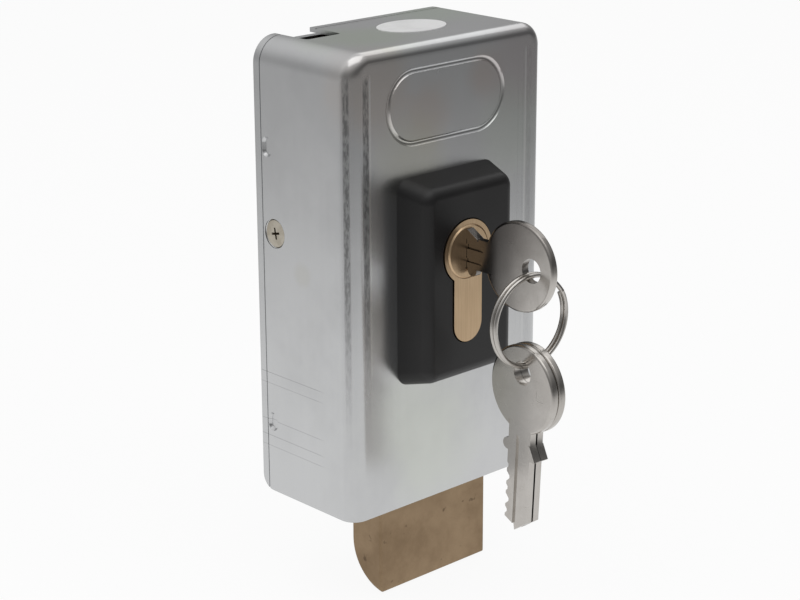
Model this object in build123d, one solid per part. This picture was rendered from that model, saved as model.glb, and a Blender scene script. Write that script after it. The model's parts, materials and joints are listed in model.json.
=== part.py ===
from build123d import *
import os
from math import asin, cos, degrees, radians, sin, sqrt

# Vertical electric gate lock, in millimetres.
# Origin at the centre of the mounting face, front towards -Y, +Z up, bolt leaving at the bottom.

# Case, whose height, width and depth follow further down from what it holds
cover_sheet = 1.2
edge_round = 6.8
rear_corner_round = 4.0
plate_sheet = 2.3
plate_side_gap = 0.2
plate_top_gap = 0.6
plate_corner_round = 5.8
flange_inset = 0.5
rim_groove_width = 0.35
rim_groove_depth = 0.25

# Cable notch in the top of the cover
notch_inset = 12.2
notch_width = 11.8
notch_depth = 12.5
notch_round = 1.2

# Pressed oval groove near the top of the cover
oval_x = -1.35
oval_drop = 15.8
oval_width = 42.5
oval_height = 20.4
oval_groove_width = 1.6
oval_groove_depth = 0.45

# Pressed dimples that hold the back plate's edge
dimple_width = 3.6
dimple_depth = 0.7
upper_dimple_drop = 28.0
upper_dimple_length = 5.4
lower_dimple_rise = 20.1
lower_dimple_length = 5.2

# Side screws
side_screw_rise = 3.0
side_screw_setback = 7.1
side_screw_radius = 2.0
side_head_radius = 3.75
side_head_sink = 0.25
side_screw_length = 6.5
lug_width = 12.4
lug_reach = 11.7

# Fixing holes in the back plate
fixing_radius = 2.75
fixing_inset = 7.0
fixing_over_web = 3.3
fixing_over_guide = 8.3

# Profile cylinder
profile_round = 8.5
profile_height = 33.0
tail_width = 10.0
cylinder_length = 37.0
cylinder_proud = 0.3
cylinder_setback = 2.0
cam_slot_width = 10.0
cam_slot_below = 14.5
rear_wall = 5.0
plug_radius = 6.5
plug_collar_radius = 7.2
plug_collar_length = 1.3
plug_proud = 0.3
plug_clearance = 0.05
spigot_radius = 4.2
spigot_flat = 3.4
journal_radius = 2.9
clip_thickness = 1.0
clip_radius = 6.0
cam_hub_radius = 7.6
cam_tip_reach = 13.0
cam_tip_radius = 2.4
cam_gap = 0.4
cylinder_screw_radius = 2.5
cylinder_screw_head_radius = 3.5
cylinder_screw_head_height = 3.0
pin_first = 4.0
pin_to_tip = 4.8
pin_radius = 1.4
chamber_radius = 1.5
driver_length = 4.0
closer_length = 1.6
cut_depths = [0.5, 1.1, 0.6, 1.2, 0.7]

# Cylinder surround
surround_width = 35.3
surround_height = 55.9
surround_drop = 8.0
surround_shift_x = 1.4
surround_draft = 2.3
surround_corner = 4.0
surround_edge = 3.2
surround_wall = 2.5
collar_wall = 2.2
profile_clearance = 0.3
cover_profile_clearance = 0.6
surround_screw_inset = 7.2
surround_screw_radius = 1.45
surround_screw_head_radius = 2.75
surround_screw_head_height = 2.0
surround_boss_radius = 3.2
surround_screw_length = 6.6

# Keys
bow_radius = 11.8
bow_thickness = 2.3
bow_round = 0.7
blade_thickness = 1.9
key_hole_radius = 3.2
key_hole_offset = 4.6
blade_spine = 4.2
blade_bite = 4.1
blade_length = 40.0
shoulder_u = 18.4
tab_length = 4.0
tab_height = 2.1
tip_slope = 3.8
neck_u = 9.2
bump_radius = 1.6
bump_u = 16.4
keyway_clearance = 0.1

# Key ring and the keys that hang from it
ring_wire = 1.2
ring_radius = 12.5
ring_turn_gap = 0.06
ring_shift_x = -0.4
ring_lead = 1.0
ring_hang = 1.75
ring_jog_start = 30.0
ring_jog_angle = 35.0
ring_yaw = -4.7
spare_tilt = 3.0
spare_gap = 0.15
spare_shift_x = 0.15

# Bolt
bolt_width = 39.8
bolt_thickness = 11.5
bolt_reach = 26.6
bolt_throw = 16.0
bolt_head_room = 1.5
nose_radius = 13.0
bolt_edge = 0.8
carriage_sheet = 4.0
carriage_inset = 0.1
carriage_seat_height = 20.0
carriage_base_overhang = 10.0
arm_width = 7.4
lug_height = 5.0
lug_gap_x = 3.8
wing_width = 4.1
wing_height = 5.0
wing_gap = 0.3
carriage_screw_radius = 2.0
carriage_head_radius = 3.9
carriage_screw_length = 9.5

# Bolt guide
guide_clearance = 0.2
guide_wall = 2.0
guide_height = 16.2
guide_below_top = 6.0
guide_floor_gap = 3.2
foot_side_gap = 2.7
foot_width = 9.0
foot_screw_radius = 2.0
foot_head_radius = 3.6
foot_head_height = 2.4

# Springs and their rods
spring_left_inset = 4.1
spring_arm_gap = 4.2
spring_hole_radius = 2.8
spring_hole_depth = 30.0
spring_radius = 2.5
spring_wire = 0.7
spring_turns = 9
rod_radius = 1.5
rod_head_radius = 2.4
rod_head_height = 0.8

# Cylinder bracket
bracket_sheet = 2.5
bracket_top_margin = 3.2
bracket_leg_rise = 7.0
bracket_foot_gap = 2.8
web_setback = 1.3
shelf_rise = 2.0
shelf_gap = 0.6
shelf_corner = 2.0
ear_gap = 0.2
ear_round = 4.2
bracket_foot_width = 6.5

# Solenoid
frame_top_gap = 1.8
frame_side_gap = 3.1
frame_web_gap = 7.8
frame_sheet = 3.0
frame_width = 26.0
plunger_radius = 5.5
plunger_clearance = 0.2
plunger_engage = 2.5
fork_slot_height = 10.0
fork_gap = 0.1
pole_gap = 0.5
pole_length = 6.0
pin_height = 5.0
plunger_pin_radius = 1.5
bobbin_wall = 1.0
bobbin_flange = 1.5
bobbin_radius = 12.0
bobbin_rear_gap = 3.8
bobbin_front_gap = 2.2
coil_radius = 11.6
solenoid_screw_radius = 2.0
solenoid_screw_head_radius = 3.8
cam_side_gap = 1.3
solenoid_screw_spacing = 15.0

# Terminal block
terminal_width = 16.0
terminal_height = 16.0
terminal_depth = 12.0
terminal_drop = 24.0
terminal_pitch = 9.0
terminal_entry_radius = 1.6
terminal_screw_radius = 1.5

# Sticker on the top
sticker_x = 4.5
sticker_y = -17.3
sticker_length = 20.5
sticker_width = 15.5
sticker_thickness = 0.15

# The case is as high, wide and deep as the pieces stacked inside it, with their clearances
frame_height = 2 * frame_sheet + plunger_engage + bolt_throw + pole_gap + pole_length
profile_room = profile_clearance + bracket_top_margin
upper_stack = cover_sheet + frame_top_gap + frame_height + frame_web_gap + profile_room
lower_stack = bolt_head_room + bolt_throw + guide_below_top + guide_height + guide_floor_gap
case_height = upper_stack + profile_height + lower_stack + plate_sheet + flange_inset
case_width = bolt_width + 2 * (guide_clearance + guide_wall + foot_width + foot_side_gap + cover_sheet)
case_depth = plate_sheet + frame_sheet + bobbin_rear_gap + 2 * bobbin_radius + bobbin_front_gap + cover_sheet

half_width = case_width / 2
top = case_height / 2
bottom = -case_height / 2
front = -case_depth
inner_side = half_width - cover_sheet
inner_front = front + cover_sheet
inner_top = top - cover_sheet
plate_front = -plate_sheet
plate_side = inner_side - plate_side_gap
plate_top = inner_top - plate_top_gap
flange_bottom = bottom + flange_inset
flange_top = flange_bottom + plate_sheet

# Heights, from the bottom up
guide_bottom = flange_top + guide_floor_gap
guide_top = guide_bottom + guide_height
bolt_top = guide_top + guide_below_top
bolt_bottom = bottom - bolt_reach
tail_bottom = bolt_top + bolt_throw + bolt_head_room
cylinder_z = tail_bottom + profile_height - profile_round
tail_half = tail_width / 2
screw_z = tail_bottom + tail_half
web_top = cylinder_z + profile_round + profile_room
solenoid_bottom = web_top + frame_web_gap
slot_bottom = cylinder_z - cam_slot_below
surround_z = cylinder_z - surround_drop
side_screw_z = cylinder_z + side_screw_rise
terminal_z = top - terminal_drop
upper_dimple_z = top - upper_dimple_drop
lower_dimple_z = bottom + lower_dimple_rise
plunger_bottom = solenoid_bottom - bolt_throw
bracket_leg_top = cylinder_z + bracket_leg_rise
upper_fixing_z = web_top + fixing_over_web
lower_fixing_z = guide_top + fixing_over_guide

# Depths, from the mounting face forwards
cam_y = plate_front - frame_sheet - bobbin_rear_gap - bobbin_radius
slot_rear = cam_y + cylinder_setback + cam_slot_width / 2
slot_front = slot_rear - cam_slot_width
slot_y = slot_rear - cam_slot_width / 2
cylinder_rear = slot_rear + rear_wall
cylinder_front = cylinder_rear - cylinder_length
surround_front = cylinder_front + cylinder_proud
plug_front = cylinder_front - plug_proud
carriage_front = cam_y - carriage_sheet / 2
carriage_rear = cam_y + carriage_sheet / 2
bolt_rear = carriage_rear + carriage_inset
bolt_front = bolt_rear - bolt_thickness
spring_y = (bolt_front + carriage_front) / 2
web_rear = cylinder_rear - web_setback
web_front = web_rear - bracket_sheet

# Places across the case
bolt_half = bolt_width / 2
solenoid_x = inner_side - frame_side_gap - frame_width / 2
arm_left = solenoid_x - arm_width / 2
cylinder_x = arm_left - cam_side_gap - cam_tip_reach - cam_tip_radius
surround_x = cylinder_x + surround_shift_x
notch_x = notch_inset - inner_side
fixing_x = half_width - fixing_inset
spring_left_x = spring_left_inset - bolt_half
spring_right_x = arm_left - spring_arm_gap
bracket_half_width = plate_side - plate_sheet - bracket_foot_gap - bracket_foot_width

# Springs, cam and key
spring_seat = bolt_top - spring_hole_depth
shelf_top = slot_bottom + shelf_rise
shelf_bottom = shelf_top - bracket_sheet
cam_angle = asin(bolt_throw / 2 / cam_tip_reach)
cam_tip_z = cylinder_z - cam_tip_reach * sin(cam_angle)
lug_bottom = cam_tip_z + cam_tip_radius + cam_gap
lug_left = cylinder_x + cam_hub_radius + lug_gap_x
pin_pitch = (blade_length - shoulder_u - pin_first - pin_to_tip) / (len(cut_depths) - 1)

key_centre_y = plug_front - shoulder_u
key_hole_y = key_centre_y - key_hole_offset
ring_pair_offset = (ring_wire + ring_turn_gap) / 2
ring_centre_radius = ring_radius - ring_wire / 2
ring_y = key_hole_y + ring_lead
ring_top_z = cylinder_z - sqrt(ring_hang ** 2 - ring_lead ** 2)
ring_z = ring_top_z - ring_centre_radius
ring_x = cylinder_x + ring_shift_x
ring_bottom_z = ring_z - ring_centre_radius
spare_hole_z = ring_bottom_z - ring_hang


def block(x0, x1, y0, y1, z0, z1):
    centre = Pos((x0 + x1) / 2, (y0 + y1) / 2, (z0 + z1) / 2)
    return centre * Box(x1 - x0, y1 - y0, z1 - z0)


def facing(y):
    # Drawing plane parallel to the front, seen from the front: drawn X is X, drawn Y is Z.
    return Plane(origin=(0, y, 0), x_dir=(1, 0, 0), z_dir=(0, -1, 0))


def slab(shape, y0, y1):
    # The drawn shape as a plate from y0 back to y1.
    return extrude(facing(y1) * shape, amount=y1 - y0)


def rod_x(y, z, radius, x0, x1):
    plane = Plane(origin=(x0, y, z), x_dir=(0, 1, 0), z_dir=(1, 0, 0))
    return extrude(plane * Circle(radius), amount=x1 - x0)


def rod_y(x, z, radius, y0, y1):
    return slab(Pos(x, z) * Circle(radius), y0, y1)


def rod_z(x, y, radius, z0, z1):
    return extrude(Pos(x, y, z0) * Circle(radius), amount=z1 - z0)


def turned(points, origin, along):
    # A turned piece: points are (radius, distance along the axis).
    normal = Vector(*along)
    side = Vector(1, 0, 0) if abs(normal.X) < 0.5 else Vector(0, 0, 1)
    plane = Plane(origin=origin, x_dir=side, z_dir=side.cross(normal))
    outline = make_face(Polyline(*points, close=True))
    return revolve(plane * outline, axis=Axis(origin, along), revolution_arc=360)


def euro_profile(grow):
    low = tail_bottom + tail_half
    shape = Pos(cylinder_x, cylinder_z) * Circle(profile_round + grow)
    shape += Pos(cylinder_x, (cylinder_z + low) / 2) * Rectangle(tail_width + 2 * grow, cylinder_z - low)
    shape += Pos(cylinder_x, low) * Circle(tail_half + grow)
    return shape


def rounded_case(side, low, high, y0, y1, radius):
    body = block(-side, side, y0, y1, low, high)
    upright = body.edges().filter_by(Axis.Z).sort_by(Axis.Y)[:2]
    top_edges = body.faces().sort_by(Axis.Z)[-1].edges()
    top_sides = top_edges.filter_by(Axis.Y)
    top_front = top_edges.filter_by(Axis.X).sort_by(Axis.Y)[:1]
    return fillet(upright + top_sides + top_front, radius)


def make_front_cover():
    shell = rounded_case(half_width, bottom, top, front, 0, edge_round)
    rear_low = shell.edges().filter_by(Axis.X).group_by(Axis.Z)[0].sort_by(Axis.Y)[-1:]
    shell = fillet(rear_low, rear_corner_round)
    inside = rounded_case(inner_side, bottom - 5, inner_top, inner_front, 5, edge_round - cover_sheet)
    shell -= inside

    # Groove round the rim, in line with the back plate's front
    band = block(-case_width, case_width, plate_front - rim_groove_width, plate_front, 2 * bottom, 2 * top)
    core = rounded_case(
        half_width - rim_groove_depth, bottom - 1, top - rim_groove_depth, front, 1, edge_round - rim_groove_depth
    )
    shell -= band - core

    # Pressed oval: a groove outside and a ridge inside
    section = (oval_groove_width ** 2 / 4 + oval_groove_depth ** 2) / (2 * oval_groove_depth)
    line_y = front + oval_groove_depth - section
    oval = Pos(oval_x, top - oval_drop) * SlotOverall(oval_width - oval_groove_width, oval_height - oval_groove_width)
    path = (facing(line_y) * oval).wires()[0]
    start = path @ 0
    plane = Plane(origin=start, z_dir=path % 0)
    ridge = sweep(plane * Circle(section + cover_sheet), path=path)
    ridge &= block(-half_width, half_width, inner_front - 0.3, 0, 0, top)
    shell += ridge
    shell -= sweep(plane * Circle(section), path=path)

    # Opening for the cylinder, and the holes for the surround's screws
    shell -= slab(euro_profile(cover_profile_clearance), front - 1, inner_front + 1)
    for z in surround_screw_places():
        shell -= rod_y(cylinder_x, z, surround_screw_radius + 0.15, front - 1, inner_front + 1)

    # Cable notch, open to the rear
    notch = block(notch_x - notch_width / 2, notch_x + notch_width / 2, -notch_depth, 2, top - 4, top + 1)
    notch = fillet(notch.edges().filter_by(Axis.Z).sort_by(Axis.Y)[:2], notch_round)
    shell -= notch

    # Dimples and countersunk holes in both sides
    for side in (-1, 1):
        for z, length in ((upper_dimple_z, upper_dimple_length), (lower_dimple_z, lower_dimple_length)):
            y = plate_front - dimple_width / 2 - 0.5
            shape = Rot(0, 0, 90) * SlotOverall(length, dimple_width)
            outer = Plane(origin=(side * half_width, y, z), x_dir=(0, 1, 0), z_dir=(-side, 0, 0))
            inner = Plane(origin=(side * inner_side, y, z), x_dir=(0, 1, 0), z_dir=(-side, 0, 0))
            shell += extrude(inner * shape, amount=dimple_depth, taper=40)
            shell -= extrude(outer * shape, amount=dimple_depth, taper=40)
        shell -= side_countersink(side, 0.2)
    return shell


def side_countersink(side, gap):
    outside = side_head_radius + gap
    shank = side_screw_radius + gap
    points = [(0, -1), (outside, -1), (outside, side_head_sink), (shank, side_head_sink + outside - shank)]
    points += [(shank, side_screw_length + 1), (0, side_screw_length + 1)]
    return turned(points, (side * half_width, -side_screw_setback, side_screw_z), (-side, 0, 0))


def surround_screw_places():
    high = surround_z + surround_height / 2 - surround_screw_inset
    low = surround_z - surround_height / 2 + surround_screw_inset
    return (high, low)


def make_cover_screws():
    screws = []
    for side in (-1, 1):
        cone = side_head_radius - side_screw_radius
        points = [(0, side_head_sink), (side_head_radius - 0.15, side_head_sink)]
        points += [(side_head_radius - 0.15, side_head_sink + 0.15), (side_screw_radius, side_head_sink + cone)]
        points += [(side_screw_radius, side_screw_length - 0.4), (side_screw_radius - 0.4, side_screw_length)]
        points += [(0, side_screw_length)]
        origin = (side * half_width, -side_screw_setback, side_screw_z)
        screw = turned(points, origin, (-side, 0, 0))
        seat = Plane(origin=(side * (half_width - side_head_sink), -side_screw_setback, side_screw_z),
                     x_dir=(0, 1, 0), z_dir=(-side, 0, 0)).rotated((0, 0, 12))
        cross = Rectangle(4.4, 0.85) + Rectangle(0.85, 4.4)
        screw -= extrude(seat * cross, amount=1.3, taper=12)
        screws.append(screw)
    return Compound(screws)


def make_back_plate():
    outline = Pos(0, (plate_top + flange_bottom) / 2) * Rectangle(2 * plate_side, plate_top - flange_bottom)
    outline = fillet(outline.vertices().group_by(Axis.Y)[-1], plate_corner_round)
    plate = slab(outline, plate_front, 0)
    flange_front = inner_front + 0.2
    corner = edge_round - cover_sheet
    flange = block(-plate_side, plate_side, flange_front, 0, flange_bottom, flange_top)
    flange = fillet(flange.edges().filter_by(Axis.Z).sort_by(Axis.Y)[:2], corner)
    plate += flange
    low_rear = plate.edges().filter_by(Axis.X).group_by(Axis.Z)[0].sort_by(Axis.Y)[-1:]
    plate = fillet(low_rear, rear_corner_round - 0.5)
    gap = guide_clearance
    slot = block(-bolt_half - gap, bolt_half + gap, bolt_front - gap, bolt_rear + gap, flange_bottom - 1, flange_top + 1)
    plate -= fillet(slot.edges().filter_by(Axis.Z), 0.5)

    # Lugs for the cover's screws
    for side in (-1, 1):
        inner = side * (plate_side - plate_sheet)
        lug = block(min(inner, side * plate_side), max(inner, side * plate_side), plate_front - lug_reach, plate_front,
                    side_screw_z - lug_width / 2, side_screw_z + lug_width / 2)
        lug = fillet(lug.edges().filter_by(Axis.X).sort_by(Axis.Y)[:2], 2.5)
        plate += lug
        plate -= side_countersink(side, 0.03)

    # Fixing holes
    for x in (-fixing_x, fixing_x):
        for z in (lower_fixing_z, upper_fixing_z):
            plate -= rod_y(x, z, fixing_radius, plate_front - 1, 1)

    # Tapped holes for the guide, the bracket and the terminal block, countersunk ones for the solenoid
    for x, z in guide_screw_places() + bracket_screw_places():
        plate -= rod_y(x, z, foot_screw_radius + 0.03, plate_front - 1, 1)
    plate -= rod_y(notch_x, terminal_z, terminal_screw_radius + 0.03, plate_front - 1, 1)
    for z in solenoid_screw_places():
        plate -= countersunk_y(solenoid_x, z, 0.03)
    return plate


def countersunk_y(x, z, gap):
    # Countersunk screw from the rear, with its head flush with the mounting face.
    shank = solenoid_screw_radius + gap
    head = solenoid_screw_head_radius + gap
    deep = plate_sheet + frame_sheet - 0.3
    points = [(0, -0.1 - gap), (head, -0.1 - gap), (head, 0.2), (shank, 2.0), (shank, deep), (0, deep)]
    if gap == 0:
        points = [(0, 0.1), (head, 0.1), (head, 0.2), (shank, 2.0), (shank, deep), (0, deep)]
    return turned(points, (x, 0, z), (0, -1, 0))


def guide_screw_places():
    x = bolt_half + guide_clearance + guide_wall + foot_width / 2
    z = (guide_top + guide_bottom) / 2
    return [(-x, z), (x, z)]


def bracket_screw_places():
    x = bracket_half_width + bracket_foot_width / 2
    z = shelf_bottom + foot_head_radius + 1.0
    return [(-x, z), (x, z)]


def solenoid_screw_places():
    middle = solenoid_bottom + frame_height / 2
    return [middle - solenoid_screw_spacing / 2, middle + solenoid_screw_spacing / 2]


def pan_screw_y(x, z, face, head_radius, head_height, radius, length):
    # Pan-head screw with its head in front of the face and its shank running back into it.
    points = [(0, -head_height), (head_radius * 0.7, -head_height), (head_radius, -head_height * 0.45)]
    points += [(head_radius, 0), (radius, 0), (radius, length), (0, length)]
    screw = turned(points, (x, face, z), (0, 1, 0))
    seat = facing(face - head_height).offset(-1.1)
    cross = Pos(x, z) * (Rectangle(head_radius * 1.1, 0.8) + Rectangle(0.8, head_radius * 1.1))
    return screw - extrude(seat * cross, amount=2.0)


def surround_form(wall, y_front):
    # Rounded block whose four sides slope in towards the front
    low = 2 * wall
    outline = RectangleRounded(surround_width - low, surround_height - low, surround_corner - wall / 2)
    inset = low + 2 * surround_draft * (front - y_front) / (front - surround_front)
    face = RectangleRounded(surround_width - inset, surround_height - inset, surround_corner - wall / 2)
    sections = [facing(y) * Pos(surround_x, surround_z) * shape for y, shape in ((front, outline), (y_front, face))]
    return loft(sections, ruled=True)


def make_cylinder_surround():
    body = surround_form(0, surround_front)
    body = fillet(body.faces().sort_by(Axis.Y)[0].edges(), surround_edge)
    body -= surround_form(surround_wall, surround_front + surround_wall)
    body += slab(euro_profile(profile_clearance + collar_wall), surround_front + surround_wall / 2, front)
    for z in surround_screw_places():
        body += rod_y(cylinder_x, z, surround_boss_radius, surround_front + surround_wall / 2, front)
    body -= slab(euro_profile(profile_clearance), surround_front - 1, front + 1)
    for z in surround_screw_places():
        body -= rod_y(cylinder_x, z, surround_screw_radius + 0.02, front - surround_screw_length, front + 1)
    return body


def make_surround_screws():
    screws = []
    for z in surround_screw_places():
        length = surround_screw_length + cover_sheet - 1.5
        head = surround_screw_head_radius
        high = surround_screw_head_height
        points = [(0, -high), (head * 0.7, -high), (head, -high * 0.45), (head, 0), (surround_screw_radius, 0)]
        points += [(surround_screw_radius, length - 1.2), (0.3, length), (0, length)]
        screws.append(turned(points, (cylinder_x, inner_front, z), (0, -1, 0)))
    return Compound(screws)


def pin_places():
    return [plug_front + pin_first + pin_pitch * i for i in range(len(cut_depths))]


def make_cylinder_body():
    body = slab(euro_profile(0), cylinder_front, cylinder_rear)
    body -= rod_y(cylinder_x, cylinder_z, plug_radius + plug_clearance, cylinder_front - 1, slot_front + 1)
    collar_end = plug_front + plug_collar_length + plug_clearance
    body -= rod_y(cylinder_x, cylinder_z, plug_collar_radius + plug_clearance, cylinder_front - 1, collar_end)
    body -= rod_y(cylinder_x, cylinder_z, journal_radius + plug_clearance, slot_rear - 1, cylinder_rear + 1)
    wide = profile_round + 1
    body -= block(cylinder_x - wide, cylinder_x + wide, slot_front, slot_rear, slot_bottom, cylinder_z + wide)
    body -= rod_x(slot_y, screw_z, cylinder_screw_radius + 0.03, cylinder_x - tail_width, cylinder_x + tail_width)
    for y in pin_places():
        body -= rod_z(cylinder_x, y, chamber_radius, tail_bottom - 1, cylinder_z - plug_radius + 1)
    return body


def make_cylinder_plug():
    # Collar, barrel, spigot for the cam, groove for the clip and rear journal, all turned in one
    barrel = slot_front - 0.1 - plug_front
    clip_y = slot_rear - 0.2 - clip_thickness - plug_front
    end = cylinder_rear - 0.8 - plug_front
    groove = journal_radius
    points = [(0, 0), (plug_collar_radius - 0.4, 0), (plug_collar_radius, 0.4)]
    points += [(plug_collar_radius, plug_collar_length), (plug_radius, plug_collar_length), (plug_radius, barrel)]
    points += [(spigot_radius, barrel), (spigot_radius, clip_y), (groove, clip_y), (groove, end), (0, end)]
    plug = turned(points, (cylinder_x, plug_front, cylinder_z), (0, 1, 0))
    for side in (-1, 1):
        x0 = cylinder_x + side * spigot_flat
        x1 = cylinder_x + side * (spigot_radius + 1)
        plug -= block(min(x0, x1), max(x0, x1), slot_front - 0.1, clip_y + plug_front,
                      cylinder_z - spigot_radius - 1, cylinder_z + spigot_radius + 1)
    half = blade_thickness / 2 + keyway_clearance
    tip = key_centre_y + blade_length + 0.4
    keyway = block(cylinder_x - half, cylinder_x + half, plug_front - 1, tip,
                   cylinder_z - blade_bite - keyway_clearance, cylinder_z + blade_spine + keyway_clearance)
    for side, v, width, depth in key_wards(2 * keyway_clearance):
        x0 = cylinder_x + side * (half + 1)
        x1 = cylinder_x + side * (blade_thickness / 2 - depth + keyway_clearance)
        keyway -= block(min(x0, x1), max(x0, x1), plug_front - 2, tip + 1,
                        cylinder_z + v - width / 2, cylinder_z + v + width / 2)
    plug -= keyway
    for y in pin_places():
        plug -= rod_z(cylinder_x, y, chamber_radius, cylinder_z - plug_radius - 1, cylinder_z - blade_bite + 1.4)
    return plug


def make_plug_clip():
    inner = journal_radius + 0.05
    shape = Pos(cylinder_x, cylinder_z) * (Circle(clip_radius) - Circle(inner))
    shape -= Pos(cylinder_x, cylinder_z + clip_radius) * Rectangle(2 * inner - 0.8, 2 * clip_radius)
    return slab(shape, slot_rear - 0.2 - clip_thickness + 0.02, slot_rear - 0.2)


def make_cylinder_cam():
    end = slot_rear - 0.2 - clip_thickness - 0.05
    start = slot_front + 0.1
    hub = Circle(cam_hub_radius)
    arm = Pos(cam_tip_reach / 2, 0) * Rectangle(cam_tip_reach, 2 * cam_tip_radius)
    tip = Pos(cam_tip_reach, 0) * Circle(cam_tip_radius)
    bore = Circle(spigot_radius + 0.03) & Rectangle(2 * spigot_flat + 0.06, 4 * spigot_radius)
    shape = Pos(cylinder_x, cylinder_z) * (Rot(0, 0, -degrees(cam_angle)) * (hub + arm + tip) - bore)
    return slab(shape, start, end)


def make_cylinder_screw():
    ear_outer = cylinder_x + tail_half + ear_gap + bracket_sheet
    length = ear_outer - (cylinder_x - tail_half) - 1.0
    head = cylinder_screw_head_radius
    high = cylinder_screw_head_height
    points = [(0, -high), (head * 0.75, -high), (head, -high * 0.75), (head, 0), (cylinder_screw_radius, 0)]
    points += [(cylinder_screw_radius, length - 0.5), (cylinder_screw_radius - 0.5, length), (0, length)]
    return turned(points, (ear_outer, slot_y, screw_z), (-1, 0, 0))


def make_key_pins():
    pins = []
    for y, depth in zip(pin_places(), cut_depths):
        low = cylinder_z - sqrt(plug_radius ** 2 - pin_radius ** 2)
        high = cylinder_z - blade_bite + depth - 0.03
        tall = high - low
        points = [(0, 0), (pin_radius, 0), (pin_radius, tall - 1.4), (0.25, tall), (0, tall)]
        pins.append(turned(points, (cylinder_x, y, low), (0, 0, 1)))
    return Compound(pins)


def make_driver_pins():
    pins = []
    for y in pin_places():
        high = cylinder_z - plug_radius - plug_clearance - 0.3
        points = [(0, 0), (pin_radius * 0.6, 0), (pin_radius * 0.6, 1.2), (pin_radius, 1.2)]
        points += [(pin_radius, driver_length - 0.2), (pin_radius - 0.2, driver_length), (0, driver_length)]
        pins.append(turned(points, (cylinder_x, y, high - driver_length), (0, 0, 1)))
    return Compound(pins)


def make_chamber_closers():
    closers = []
    for y in pin_places():
        low = tail_bottom + 0.4
        closers.append(rod_z(cylinder_x, y, chamber_radius - 0.01, low, low + closer_length))
    return Compound(closers)


def ward_groove(side, v, width, depth, start):
    # Long milled groove in one face of the blade, with the run-out that its round cutter leaves
    wheel = 12.0
    face = side * blade_thickness / 2
    centre = face + side * (wheel - depth)
    end = blade_length + wheel
    groove = Pos((start + end) / 2, v, face) * Box(end - start, width, 2 * depth)
    return groove + Pos(start, v, centre) * Rot(90, 0, 0) * Cylinder(wheel, width)


def key_wards(grow):
    # Side, place across the blade, width and depth of each groove
    return [(1, -0.5, 1.2 - grow, 0.5), (-1, 1.7, 1.4 - grow, 0.6), (-1, -2.0, 1.1 - grow, 0.45)]


def make_key():
    # Drawn flat: U runs from the bow's centre to the tip, V towards the spine.
    edge = -blade_bite
    points = [(0, blade_spine), (blade_length - tip_slope, blade_spine), (blade_length, edge + 3.4)]
    points += [(blade_length - 1.9, edge + 3.0), (blade_length - 2.6, edge + 1.2), (blade_length - 3.0, edge)]
    for i in reversed(range(len(cut_depths))):
        u = shoulder_u + pin_first + pin_pitch * i
        depth = cut_depths[i]
        points += [(u + 0.35 + depth, edge), (u + 0.35, edge + depth), (u - 0.35, edge + depth)]
        points += [(u - 0.35 - depth, edge)]
    points += [(0, edge)]
    blade = make_face(Polyline(*points, close=True))
    blade += Pos(bump_u, edge - 0.4) * Circle(bump_radius)
    blade = extrude(blade, amount=blade_thickness / 2, both=True)
    for side, v, width, depth in key_wards(0):
        blade -= ward_groove(side, v, width, depth, shoulder_u - 2.4)

    # The bow and the stop beside the spine keep the blank's full thickness
    bow = extrude(Circle(bow_radius), amount=bow_thickness / 2, both=True)
    bow = fillet(bow.edges().filter_by(GeomType.CIRCLE), bow_round)
    bow -= Pos(neck_u + bow_radius, (blade_spine + edge) / 2, 0) * Box(
        2 * bow_radius, blade_spine - edge, 2 * bow_thickness
    )
    tab = [(shoulder_u - tab_length, blade_spine - 0.6), (shoulder_u - tab_length, blade_spine)]
    tab += [(shoulder_u - 0.3, blade_spine + tab_height), (shoulder_u, blade_spine + tab_height - 0.3)]
    tab += [(shoulder_u, blade_spine - 0.6)]
    stop = extrude(make_face(Polyline(*tab, close=True)), amount=bow_thickness / 2, both=True)
    key = blade + bow + stop
    key -= Pos(-key_hole_offset, 0, 0) * Cylinder(key_hole_radius, 4 * bow_thickness)
    return key


def place_key(key, centre, along, spine):
    u = Vector(*along)
    v = Vector(*spine)
    plane = Plane(origin=centre, x_dir=u, z_dir=u.cross(v))
    return plane.location * key


def hung(shape):
    # Turned about the upright through the ring's middle, as the ring hangs in the first key
    return Pos(ring_x, ring_y, 0) * Rot(0, 0, ring_yaw) * Pos(-ring_x, -ring_y, 0) * shape


def place_spare(key, x):
    tilt = radians(spare_tilt)
    along = (0, sin(tilt), -cos(tilt))
    centre = (x, ring_y + key_hole_offset * sin(tilt), spare_hole_z - key_hole_offset * cos(tilt))
    return hung(place_key(key, centre, along, (0, -cos(tilt), -sin(tilt))))


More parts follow.
